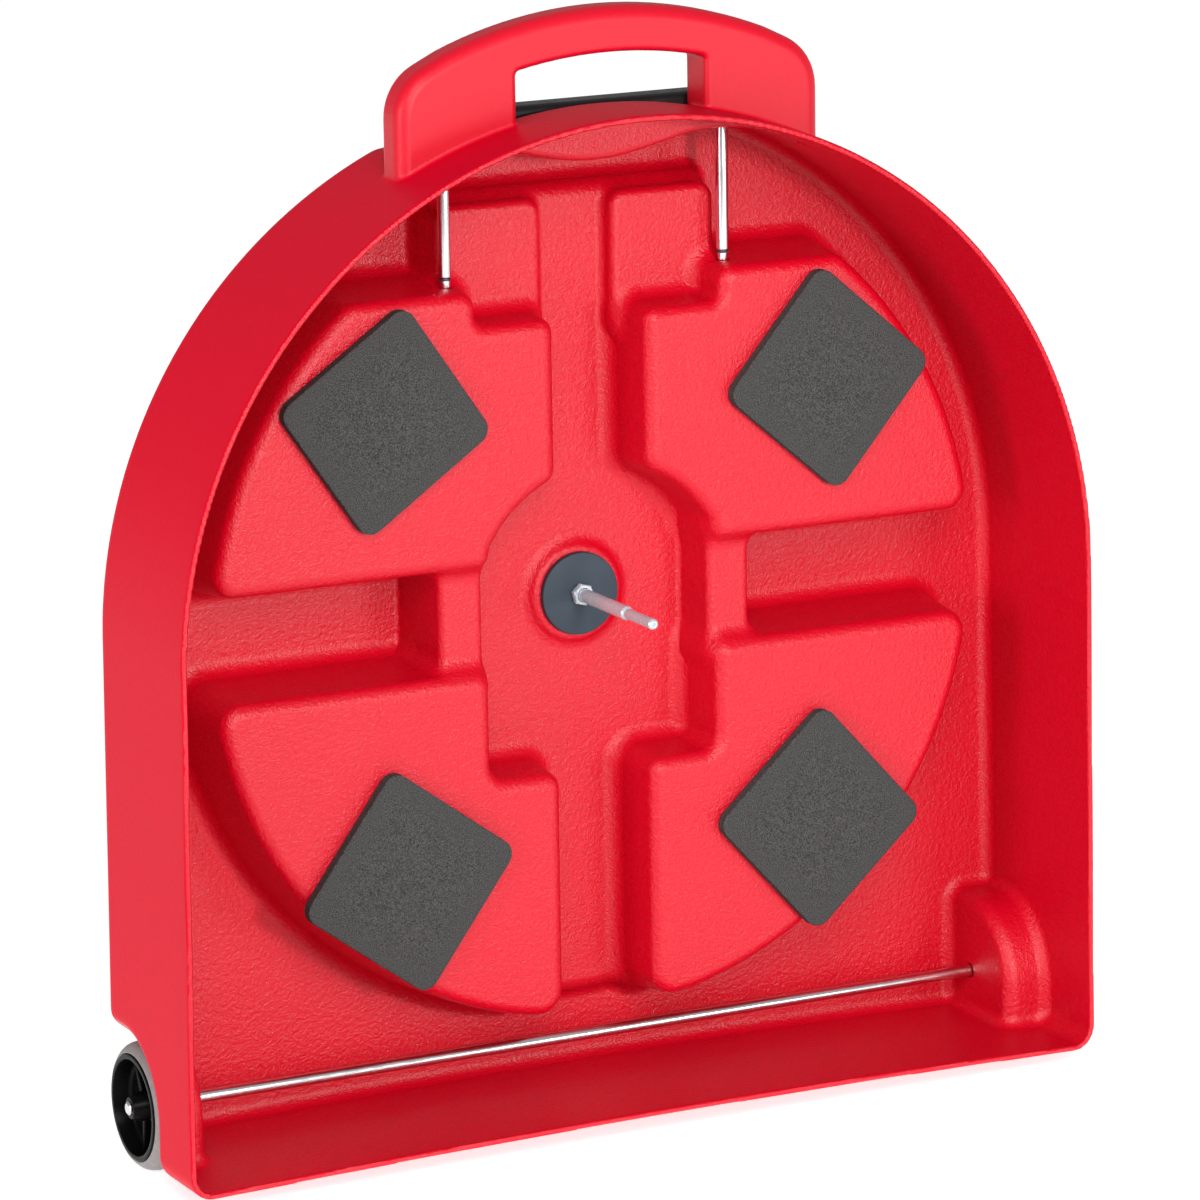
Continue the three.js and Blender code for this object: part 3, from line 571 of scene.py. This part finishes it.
def surface(name, color, roughness, metallic=0.0, tint=0.06, tint_scale=40.0, rough_swing=0.05,
            rough_scale=120.0, grains=(), specular=0.5):
    """A procedural material. grains are (noise scale per metre, height in mm) from coarse to fine."""
    material = bpy.data.materials.new(name)
    material.use_nodes = True
    tree = material.node_tree
    shader = tree.nodes["Principled BSDF"]
    shader.inputs["Metallic"].default_value = metallic
    shader.inputs["Specular IOR Level"].default_value = specular
    where = tree.nodes.new("ShaderNodeTexCoord").outputs["Object"]
    mix = tree.nodes.new("ShaderNodeMix")
    mix.data_type = "RGBA"
    mix.inputs["A"].default_value = (*[c * (1 - tint) for c in color], 1)
    mix.inputs["B"].default_value = (*[min(1, c * (1 + tint)) for c in color], 1)
    tree.links.new(spread(tree, noise(tree, where, tint_scale), 0, 1), mix.inputs["Factor"])
    tree.links.new(mix.outputs["Result"], shader.inputs["Base Color"])
    swing = spread(tree, noise(tree, where, rough_scale), roughness - rough_swing, roughness + rough_swing)
    tree.links.new(swing, shader.inputs["Roughness"])
    normal = None
    for scale, height in grains:
        bump = tree.nodes.new("ShaderNodeBump")
        bump.inputs["Distance"].default_value = height * MM
        tree.links.new(noise(tree, where, scale), bump.inputs["Height"])
        if normal is not None:
            tree.links.new(normal, bump.inputs["Normal"])
        normal = bump.outputs["Normal"]
    if normal is not None:
        tree.links.new(normal, shader.inputs["Normal"])
    return material


RED = surface("moulded_red", (0.54, 0.0002, 0.013), 0.32, tint=0.04, tint_scale=300.0, rough_swing=0.05,
              rough_scale=700.0, grains=((340.0, 0.6), (800.0, 0.5)), specular=0.42)
RED_OUTSIDE = surface("smoother_red", (0.58, 0.0004, 0.017), 0.45, tint=0.03, tint_scale=300.0,
                      rough_swing=0.04, rough_scale=700.0, grains=((500.0, 0.06),), specular=0.06)
RED_HANDLE = surface("handle_red", (0.54, 0.0002, 0.014), 0.42, tint=0.03, tint_scale=300.0, rough_swing=0.04,
                     rough_scale=700.0, grains=((500.0, 0.08),), specular=0.3)
BLACK = surface("moulded_black", (0.008, 0.008, 0.009), 0.4, tint=0.15, grains=((1500.0, 0.03),),
                specular=0.25)
HUB_BLACK = surface("hub_black", (0.002, 0.002, 0.002), 0.3, tint=0.2, grains=((900.0, 0.02),), specular=0.07)
HUB_RIM = surface("hub_rim", (0.02, 0.019, 0.019), 0.5, tint=0.15, grains=((1500.0, 0.04),), specular=0.3)
TYRE = surface("grey_rubber", (0.24, 0.227, 0.223), 0.62, tint=0.1, tint_scale=250.0, grains=((700.0, 0.08),))
DISC = surface("dark_rubber", (0.018, 0.031, 0.046), 0.55, tint=0.12, grains=((1200.0, 0.03),), specular=0.4)
FOAM = surface("foam", (0.05, 0.05, 0.049), 0.95, tint=0.7, tint_scale=1300.0, grains=((1100.0, 0.35),),
               specular=0.1)
CHROME = surface("bright_steel", (0.72, 0.72, 0.74), 0.2, metallic=1.0, tint=0.03, rough_swing=0.03,
                 grains=((800.0, 0.004),))
STEEL = surface("zinc_steel", (0.6, 0.61, 0.63), 0.32, metallic=1.0, tint=0.08, rough_swing=0.08,
                grains=((900.0, 0.01),))
SATIN = surface("satin_steel", (0.48, 0.55, 0.6), 0.26, metallic=0.3, tint=0.05, rough_swing=0.06,
                grains=((900.0, 0.01),))


# ---- Wheels and axle ----
HUB_R = 34.5
HUB_SPOKES = 5
HUB_RIM_R = 29.0            # inside of the hub's rim
HUB_BOSS_R = 11.0           # foot of the boss
HUB_NOSE_R = 7.0            # top of the boss
HUB_NOSE = 1.5              # boss above the wheel's face
HUB_DISH = -12.0            # web, below the wheel's face
HUB_WEB_REAR = -16.0
HUB_REAR = -WHEEL_W + 2
RIB_W = 3.6
RIB_H = 5.0
TYRE_DROP = 7.0             # from the crown of the tread to its sides
TYRE_RIDGE = 0.25           # mould line round the crown
SPACER_R = 7.0


def make_hub(name, at, axis):
    """A deep dish with a cone in the middle, low ribs and a paler rim."""
    bm = bmesh.new()
    add_turned(bm, [
        (AXLE_R + GAP, -WHEEL_W), (HUB_BOSS_R, -WHEEL_W, 0.6), (HUB_BOSS_R, HUB_WEB_REAR, 0.6),
        (HUB_RIM_R, HUB_WEB_REAR, 1.5), (HUB_RIM_R, HUB_REAR, 0.8), (HUB_R, HUB_REAR, 0.8), (HUB_R, 0, 1.0),
        (HUB_RIM_R + 2, 0, 0.7), (HUB_RIM_R, HUB_DISH, 3.0), (HUB_BOSS_R, HUB_DISH, 3.0),
        (HUB_NOSE_R, HUB_NOSE, 1.0), (AXLE_R + GAP, HUB_NOSE)], 112)
    turned_faces = set(bm.faces)
    length = HUB_RIM_R + 1 - HUB_NOSE_R
    for i in range(HUB_SPOKES):
        turn = Matrix.Rotation(2 * math.pi * i / HUB_SPOKES + 0.5, 4, "Z")
        outwards = Matrix.Translation((HUB_NOSE_R + length / 2, 0, HUB_DISH + 1.5))
        rib = turn @ outwards @ Matrix.Diagonal((length, RIB_W, RIB_H, 1))
        made = bmesh.ops.create_cube(bm, size=1.0, matrix=rib)
        edges = list({e for v in made["verts"] for e in v.link_edges})
        bmesh.ops.bevel(bm, geom=edges, offset=0.9, segments=3, profile=0.5, affect="EDGES")
    for face in bm.faces:
        middle = face.calc_center_median()
        on_rim = face in turned_faces and math.hypot(middle.x, middle.y) > HUB_RIM_R + 1.6 and middle.z > -3
        face.material_index = 1 if on_rim else 0
    return smooth(place(bm, name, at, axis), 32)


def make_tyre(name, at, axis):
    """A tread that is nearly flat in the middle and falls away towards its sides."""
    half = WHEEL_W / 2
    seat = HUB_R + GAP
    corners = [(seat, -1.0), (seat, -WHEEL_W + 1.0)]
    for share in np.linspace(-0.93, 0.93, 41):
        drop = TYRE_DROP * abs(share) ** 2.8
        ridge = TYRE_RIDGE if abs(share) < 0.02 else 0.0
        corners.append((WHEEL_R - TYRE_RIDGE - drop + ridge, -half + share * half))
    return turned(name, corners, at, axis, 144)


def add_wheels():
    y = BACK_Y - AXLE_DEPTH
    well_face = WELL_FACE_X + GAP - WHEEL_FACE_X
    for side, label in ((-1, "left"), (1, "right")):
        at = (side * WHEEL_FACE_X, y, AXLE_Z)
        axis = (side, 0, 0)
        body = f"wheel_{label}"
        hub = make_hub(f"hub_{label}", at, axis)
        finish_piece(hub, HUB_BLACK, body, "black_plastic", f"wheel_hub_{label}")
        hub.data.materials.append(HUB_RIM)
        finish_piece(make_tyre(f"tyre_{label}", at, axis), TYRE, body, "grey_tyre", f"wheel_tyre_{label}")
        spacer = turned(f"spacer_{label}", [
            (AXLE_R + GAP, well_face), (SPACER_R, well_face, 0.5),
            (SPACER_R, -WHEEL_W - GAP, 0.5), (AXLE_R + GAP, -WHEEL_W - GAP)], at, axis, 48)
        finish_piece(spacer, BLACK, "case", "black_plastic", f"axle_spacer_{label}")
        cap = turned(f"cap_{label}", [(0, 1.8), (4.4, 1.8, 0.2), (4.4, 2.5, 0.3), (3.2, 3.5, 0.8), (0, 4.0)],
                     at, axis, 48)
        finish_piece(cap, STEEL, "case", "steel", f"axle_cap_{label}")
    end = WHEEL_FACE_X + 1.5
    axle = turned("axle_rod", [(0, -end), (AXLE_R, -end, 0.5), (AXLE_R, end, 0.5), (0, end)], (0, y, AXLE_Z),
                  (1, 0, 0), 64)
    finish_piece(axle, CHROME, "case", "chrome", "axle")


# ---- Pull handle ----
GRIP_HALF = 117.0
GRIP_DEPTH = 23.0
GRIP_HEIGHT = 17.0
GRIP_BASE_Z = POCKET_Z + 3.5
ROD_R = 2.5
ROD_LENGTH = 455.0
ROD_TOP = 2.0               # top of the rods above the grip's middle
TUBE_R = 4.0
NECK_R = 3.4
BUSH_R = 6.5
STOP_R = 4.8
BORE_R = ROD_R + GAP        # bore that a rod runs in
BUSH_FLANGE_R = 9.0
STOP_H = 12.0
SCREW_R = 1.6
SCREW_HEAD_R = 3.6
SCREW_HOLE = 12.0           # threaded hole in the top of each rod


def make_grip(at):
    """A bar with rounded edges and ends, bored for the rods and for their screws."""
    bm = bmesh.new()
    rings = []
    for x, inset in ((0, 4.0), (0.6, 2.2), (1.6, 1.0), (3.0, 0.3), (5.0, 0.0)):
        half_y, half_z = GRIP_DEPTH / 2 - inset, GRIP_HEIGHT / 2 - inset
        r = 5.0 - 0.6 * inset
        section = rounded([(half_y, -half_z, r), (half_y, half_z, r), (-half_y, half_z, r),
                           (-half_y, -half_z, r)])
        rings.append([(-GRIP_HALF + x, p.x, p.y) for p in section])
    rings += [[(-px, py, pz) for px, py, pz in ring] for ring in reversed(rings)]
    add_loft(bm, rings)
    grip = place(bm, "grip", at, (0, 0, 1))
    head_bore = (SCREW_HEAD_R + GAP, ROD_TOP + 2, 20)
    rod_bore = (ROD_R + GAP, -20, ROD_TOP)
    screw_bore = (SCREW_R + GAP, 0, 10)
    for side in (-1, 1):
        for radius, low, high in (head_bore, rod_bore, screw_bore):
            cutter = turned("cutter", [(0, low), (radius, low), (radius, high), (0, high)],
                            (at[0] + side * ROD_X, at[1], at[2]), segments=48)
            cut = grip.modifiers.new("Cut", "BOOLEAN")
            cut.object = cutter
            cut.operation = "DIFFERENCE"
            keep_modifiers(grip)
            bpy.data.objects.remove(cutter)
    return smooth(grip, 32)


def make_screw(name, at):
    """A low domed screw with a cross recess."""
    head = ROD_TOP + 2 + GAP
    crown = head + 2.4
    screw = turned(name, [
        (0, -6), (SCREW_R, -6), (SCREW_R, head), (SCREW_HEAD_R, head, 0.2), (SCREW_HEAD_R, head + 1.2, 0.4),
        (2.2, head + 2.2, 0.6), (0, crown)], at, segments=48)
    for turn in (0.4, 0.4 + math.pi / 2):
        bm = bmesh.new()
        turned_to = Matrix.Translation((0, 0, crown)) @ Matrix.Rotation(turn, 4, "Z")
        shape = turned_to @ Matrix.Diagonal((4, 0.8, 2.6, 1))
        bmesh.ops.create_cube(bm, size=1.0, matrix=shape)
        slot = place(bm, "cutter", at, (0, 0, 1))
        cut = screw.modifiers.new("Cut", "BOOLEAN")
        cut.object = slot
        cut.operation = "DIFFERENCE"
        keep_modifiers(screw)
        bpy.data.objects.remove(slot)
    return smooth(screw, 32)


def add_pull_handle():
    y = BACK_Y - ROD_DEPTH
    grip_z = GRIP_BASE_Z + GRIP_HEIGHT / 2
    finish_piece(make_grip((0, y, grip_z)), BLACK, "pull_handle", "black_plastic", "pull_grip")
    rod_z = grip_z + ROD_TOP - GAP - ROD_LENGTH
    screw_hole_z = ROD_LENGTH - SCREW_HOLE
    tube_top = POCKET_Z - WALL + 1
    ledge_z = CENTRE_Z + LEDGE_HIGH + DRAFT * (BLOCK - ROD_DEPTH)
    tube_low = ledge_z - 9
    shoulder = ledge_z + 4
    seat = POCKET_Z + GAP
    bush_top = GRIP_BASE_Z - GAP
    for side, label in ((-1, "left"), (1, "right")):
        x = side * ROD_X
        rod = turned(f"rod_{label}", [
            (0, 0), (ROD_R, 0, 0.5), (ROD_R, ROD_LENGTH, 0.4), (SCREW_R + GAP, ROD_LENGTH),
            (SCREW_R + GAP, screw_hole_z), (0, screw_hole_z)], (x, y, rod_z), segments=48)
        finish_piece(rod, CHROME, "pull_handle", "chrome", f"pull_rod_{label}")
        stop = turned(f"stop_{label}", [
            (BORE_R, 0), (STOP_R, 0, 0.6), (STOP_R, STOP_H, 0.6), (BORE_R, STOP_H)],
            (x, y, rod_z + 2), segments=48)
        finish_piece(stop, BLACK, "pull_handle", "black_plastic", f"rod_stop_{label}")
        finish_piece(make_screw(f"screw_{label}", (x, y, grip_z)), STEEL, "pull_handle", "steel",
                     f"grip_screw_{label}")
        tube = turned(f"tube_{label}", [
            (BORE_R, tube_low), (NECK_R, tube_low, 0.3), (NECK_R, shoulder + 1.4, 0.2),
            (TUBE_R, shoulder + 2.4, 0.6), (TUBE_R, tube_top, 0.4), (BORE_R, tube_top)],
            (x, y, 0), segments=64)
        finish_piece(tube, CHROME, "case", "chrome", f"guide_tube_{label}")
        ring = turned(f"ring_{label}", [
            (NECK_R + GAP, shoulder), (TUBE_R, shoulder, 0.2), (TUBE_R, shoulder + 1.2, 0.2),
            (NECK_R + GAP, shoulder + 1.2)], (x, y, 0), segments=48)
        finish_piece(ring, DISC, "case", "dark_rubber", f"tube_ring_{label}")
        bush = turned(f"bush_{label}", [
            (BORE_R, tube_top + GAP), (BUSH_R, tube_top + GAP, 0.5), (BUSH_R, seat),
            (BUSH_FLANGE_R, seat, 0.3), (BUSH_FLANGE_R, bush_top, 0.9), (BORE_R, bush_top)],
            (x, y, 0), segments=64)
        finish_piece(bush, BLACK, "case", "black_plastic", f"top_bush_{label}")


# ---- Cymbal spindle ----
SPINDLE_R = 4.5
TIP_R = 3.5
SHOULDER = 98.0             # depth where the spindle steps down to its tip
TAIL = 12.0                 # how far the spindle runs on behind its washer's front
DISC_R = 27.0
DISC_T = 4.0
THREAD_PITCH = 1.25
THREAD_CUT = 0.5
NUT_FLATS = 13.0
FRONT_NUT_T = 5.0
REAR_NUT_T = 6.0
WASHER_R = 12.0
WASHER_T = 1.6


def add_spindle():
    at = (0, BACK_Y, CENTRE_Z)
    forwards = (0, -1, 0)
    seat = BOSS_TOP + GAP
    nut_at = seat + DISC_T + GAP
    washer_at = BOSS_TOP - WALL - GAP
    start = washer_at - TAIL
    bore = SPINDLE_R + GAP
    rear_thread = thread(SPINDLE_R, start + 0.5, washer_at, THREAD_PITCH, THREAD_CUT)
    shaft = turned("spindle_shaft", [
        (0, start), (SPINDLE_R - 0.4, start, 0.3), *rear_thread,
        (SPINDLE_R, SHOULDER - 1, 0.3), (TIP_R + 0.1, SHOULDER, 0.1), (TIP_R - 0.35, SHOULDER + 0.4),
        (TIP_R - 0.35, SHOULDER + 1.4), (TIP_R, SHOULDER + 2, 0.2), (TIP_R, DEPTH - 1.4, 0.5),
        (TIP_R - 1.2, DEPTH, 0.2), (1.2, DEPTH, 0.2), (0.8, DEPTH - 0.8), (0, DEPTH - 0.8)], at, forwards, 80)
    finish_piece(shaft, SATIN, "case", "chrome", "spindle")
    disc = turned("rest_disc", [
        (bore, seat), (DISC_R, seat, 0.3), (DISC_R, seat + DISC_T, 0.9), (bore, seat + DISC_T)],
        at, forwards, 128)
    finish_piece(disc, DISC, "case", "dark_rubber", "cymbal_disc")
    front_at = (0, BACK_Y - nut_at, CENTRE_Z)
    front_nut = nut("front_nut", NUT_FLATS, bore, FRONT_NUT_T, front_at, forwards, 0.25)
    finish_piece(front_nut, SATIN, "case", "chrome", "spindle_nut")
    washer = turned("rear_washer", [
        (bore, washer_at - WASHER_T), (WASHER_R, washer_at - WASHER_T, 0.3), (WASHER_R, washer_at, 0.2),
        (bore, washer_at)], at, forwards, 64)
    finish_piece(washer, STEEL, "case", "steel", "backing_washer")
    rear_at = (0, BACK_Y - washer_at + WASHER_T + GAP + REAR_NUT_T, CENTRE_Z)
    rear_nut = nut("rear_nut", NUT_FLATS, bore, REAR_NUT_T, rear_at, forwards, 0.6)
    finish_piece(rear_nut, STEEL, "case", "steel", "backing_nut")


# ---- Foam pads ----
PAD_T = 8.0
PAD_CROWN = 0.5
PAD_CORNER_R = 10.0
PADS = {                    # middle of each pad from the arch centre, its tilt and its two sides
    "top_left": (-154.2, 134.9, -10.6, 107.0, 105.0),
    "top_right": (161.0, 131.6, 4.3, 106.0, 107.0),
    "bottom_left": (-144.3, -162.6, 8.5, 109.0, 107.0),
    "bottom_right": (152.2, -160.4, -3.0, 107.0, 110.0),
}


def make_pad(name, at, tilt, wide, high):
    """A cut slab of foam, with sides that pull in a little and a face that rises slightly to its middle."""
    bm = bmesh.new()
    rim = PAD_T - PAD_CROWN
    levels = [(0.0, 0.2), (0.5, 0.0), (2.2, 0.4), (5.2, 0.4), (rim - 0.8, 0.05), (rim - 0.3, 0.3),
              (rim, 0.9)]
    inner = min(wide, high) / 2 - 1.4
    for share in (0.04, 0.12, 0.3, 0.55, 0.8, 1.0):
        levels.append((rim + PAD_CROWN * (1 - (1 - share) ** 2), 0.9 + share * inner))
    rings = []
    for height, inset in levels:
        half_w, half_h = wide / 2 - inset, high / 2 - inset
        corner = min(PAD_CORNER_R, half_w, half_h)
        slab = rounded([(-half_w, -half_h, corner), (half_w, -half_h, corner), (half_w, half_h, corner),
                        (-half_w, half_h, corner)])
        rings.append([(p.x, p.y, height) for p in slab])
    add_loft(bm, rings)
    turn = Matrix.Rotation(math.radians(45 + tilt), 3, "Z")
    bmesh.ops.rotate(bm, verts=bm.verts, cent=(0, 0, 0), matrix=turn)
    for v in bm.verts:
        v.co = (v.co.x, -v.co.z, v.co.y)
    return smooth(place(bm, name, at, (0, 0, 1)), 50)


def add_pads():
    y = BACK_Y - BLOCK - GAP
    for label, (x, z, tilt, wide, high) in PADS.items():
        pad = make_pad(f"pad_{label}", (x, y, CENTRE_Z + z), tilt, wide, high)
        finish_piece(pad, FOAM, "case", "foam", f"foam_pad_{label}")


# ---- Floor and lights ----
FLOOR_HALF = 40.0           # metres in this section
TO_VIEWER = (-0.457, -0.89, 0.0)
GLOW = 0.62
GLOW_NEAR = 0.27
GLOW_FAR = 0.42
WORLD_LIGHT = 0.4
LIGHT_TARGET = (0, 0, 0.35)
LIGHTS = (                  # name, place, size and power
    ("Key", (-1.2, -2.9, 2.2), 1.6, 64),
    ("Left", (-3.5, -1.1, 0.9), 1.6, 56),
    ("Glint", (0.1, -3.6, 1.1), 0.4, 64),
    ("Fill", (1.7, -3.2, 0.4), 0.9, 20),
)


def glow_behind(material, direction, near, far, strength):
    """Makes a floor glow, fading out between two distances along a direction towards the viewer."""
    tree = material.node_tree
    shader = tree.nodes["Principled BSDF"]
    shader.inputs["Emission Color"].default_value = (1, 1, 1, 1)
    along = tree.nodes.new("ShaderNodeVectorMath")
    along.operation = "DOT_PRODUCT"
    along.inputs[1].default_value = direction
    tree.links.new(tree.nodes.new("ShaderNodeTexCoord").outputs["Object"], along.inputs[0])
    fade = tree.nodes.new("ShaderNodeMapRange")
    fade.inputs["From Min"].default_value = near
    fade.inputs["From Max"].default_value = far
    fade.inputs["To Min"].default_value = strength
    fade.inputs["To Max"].default_value = 0.0
    tree.links.new(along.outputs["Value"], fade.inputs["Value"])
    tree.links.new(fade.outputs["Result"], shader.inputs["Emission Strength"])


def add_floor():
    """A pale floor that glows under and behind the object, so that it looks plain."""
    mesh = bpy.data.meshes.new("floor")
    size = FLOOR_HALF
    corners = [(-size, -size, 0), (size, -size, 0), (size, size, 0), (-size, size, 0)]
    mesh.from_pydata(corners, [], [(0, 1, 2, 3)])
    floor = new_object("floor", mesh)
    pale = surface("pale_floor", (0.93, 0.93, 0.93), 0.9, tint=0.004, specular=0.0)
    glow_behind(pale, TO_VIEWER, GLOW_NEAR, GLOW_FAR, GLOW)
    mesh.materials.append(pale)


def add_light(name, at, size, power):
    data = bpy.data.lights.new(name, "AREA")
    data.shape = "DISK"
    data.size = size
    data.energy = power
    light = bpy.data.objects.new(name, data)
    light.location = at
    light.rotation_euler = (Vector(LIGHT_TARGET) - Vector(at)).to_track_quat("-Z", "Y").to_euler()
    bpy.context.scene.collection.objects.link(light)


def add_lights():
    world = bpy.data.worlds.new("Studio")
    world.use_nodes = True
    background = world.node_tree.nodes["Background"]
    background.inputs["Color"].default_value = (1, 1, 1, 1)
    background.inputs["Strength"].default_value = WORLD_LIGHT
    bpy.context.scene.world = world
    for name, at, size, power in LIGHTS:
        add_light(name, at, size, power)


bpy.context.scene.view_settings.view_transform = "Standard"
add_camera()
make_shell()
add_wheels()
add_pull_handle()
add_spindle()
add_pads()
add_floor()
add_lights()

bpy.context.view_layer.update()
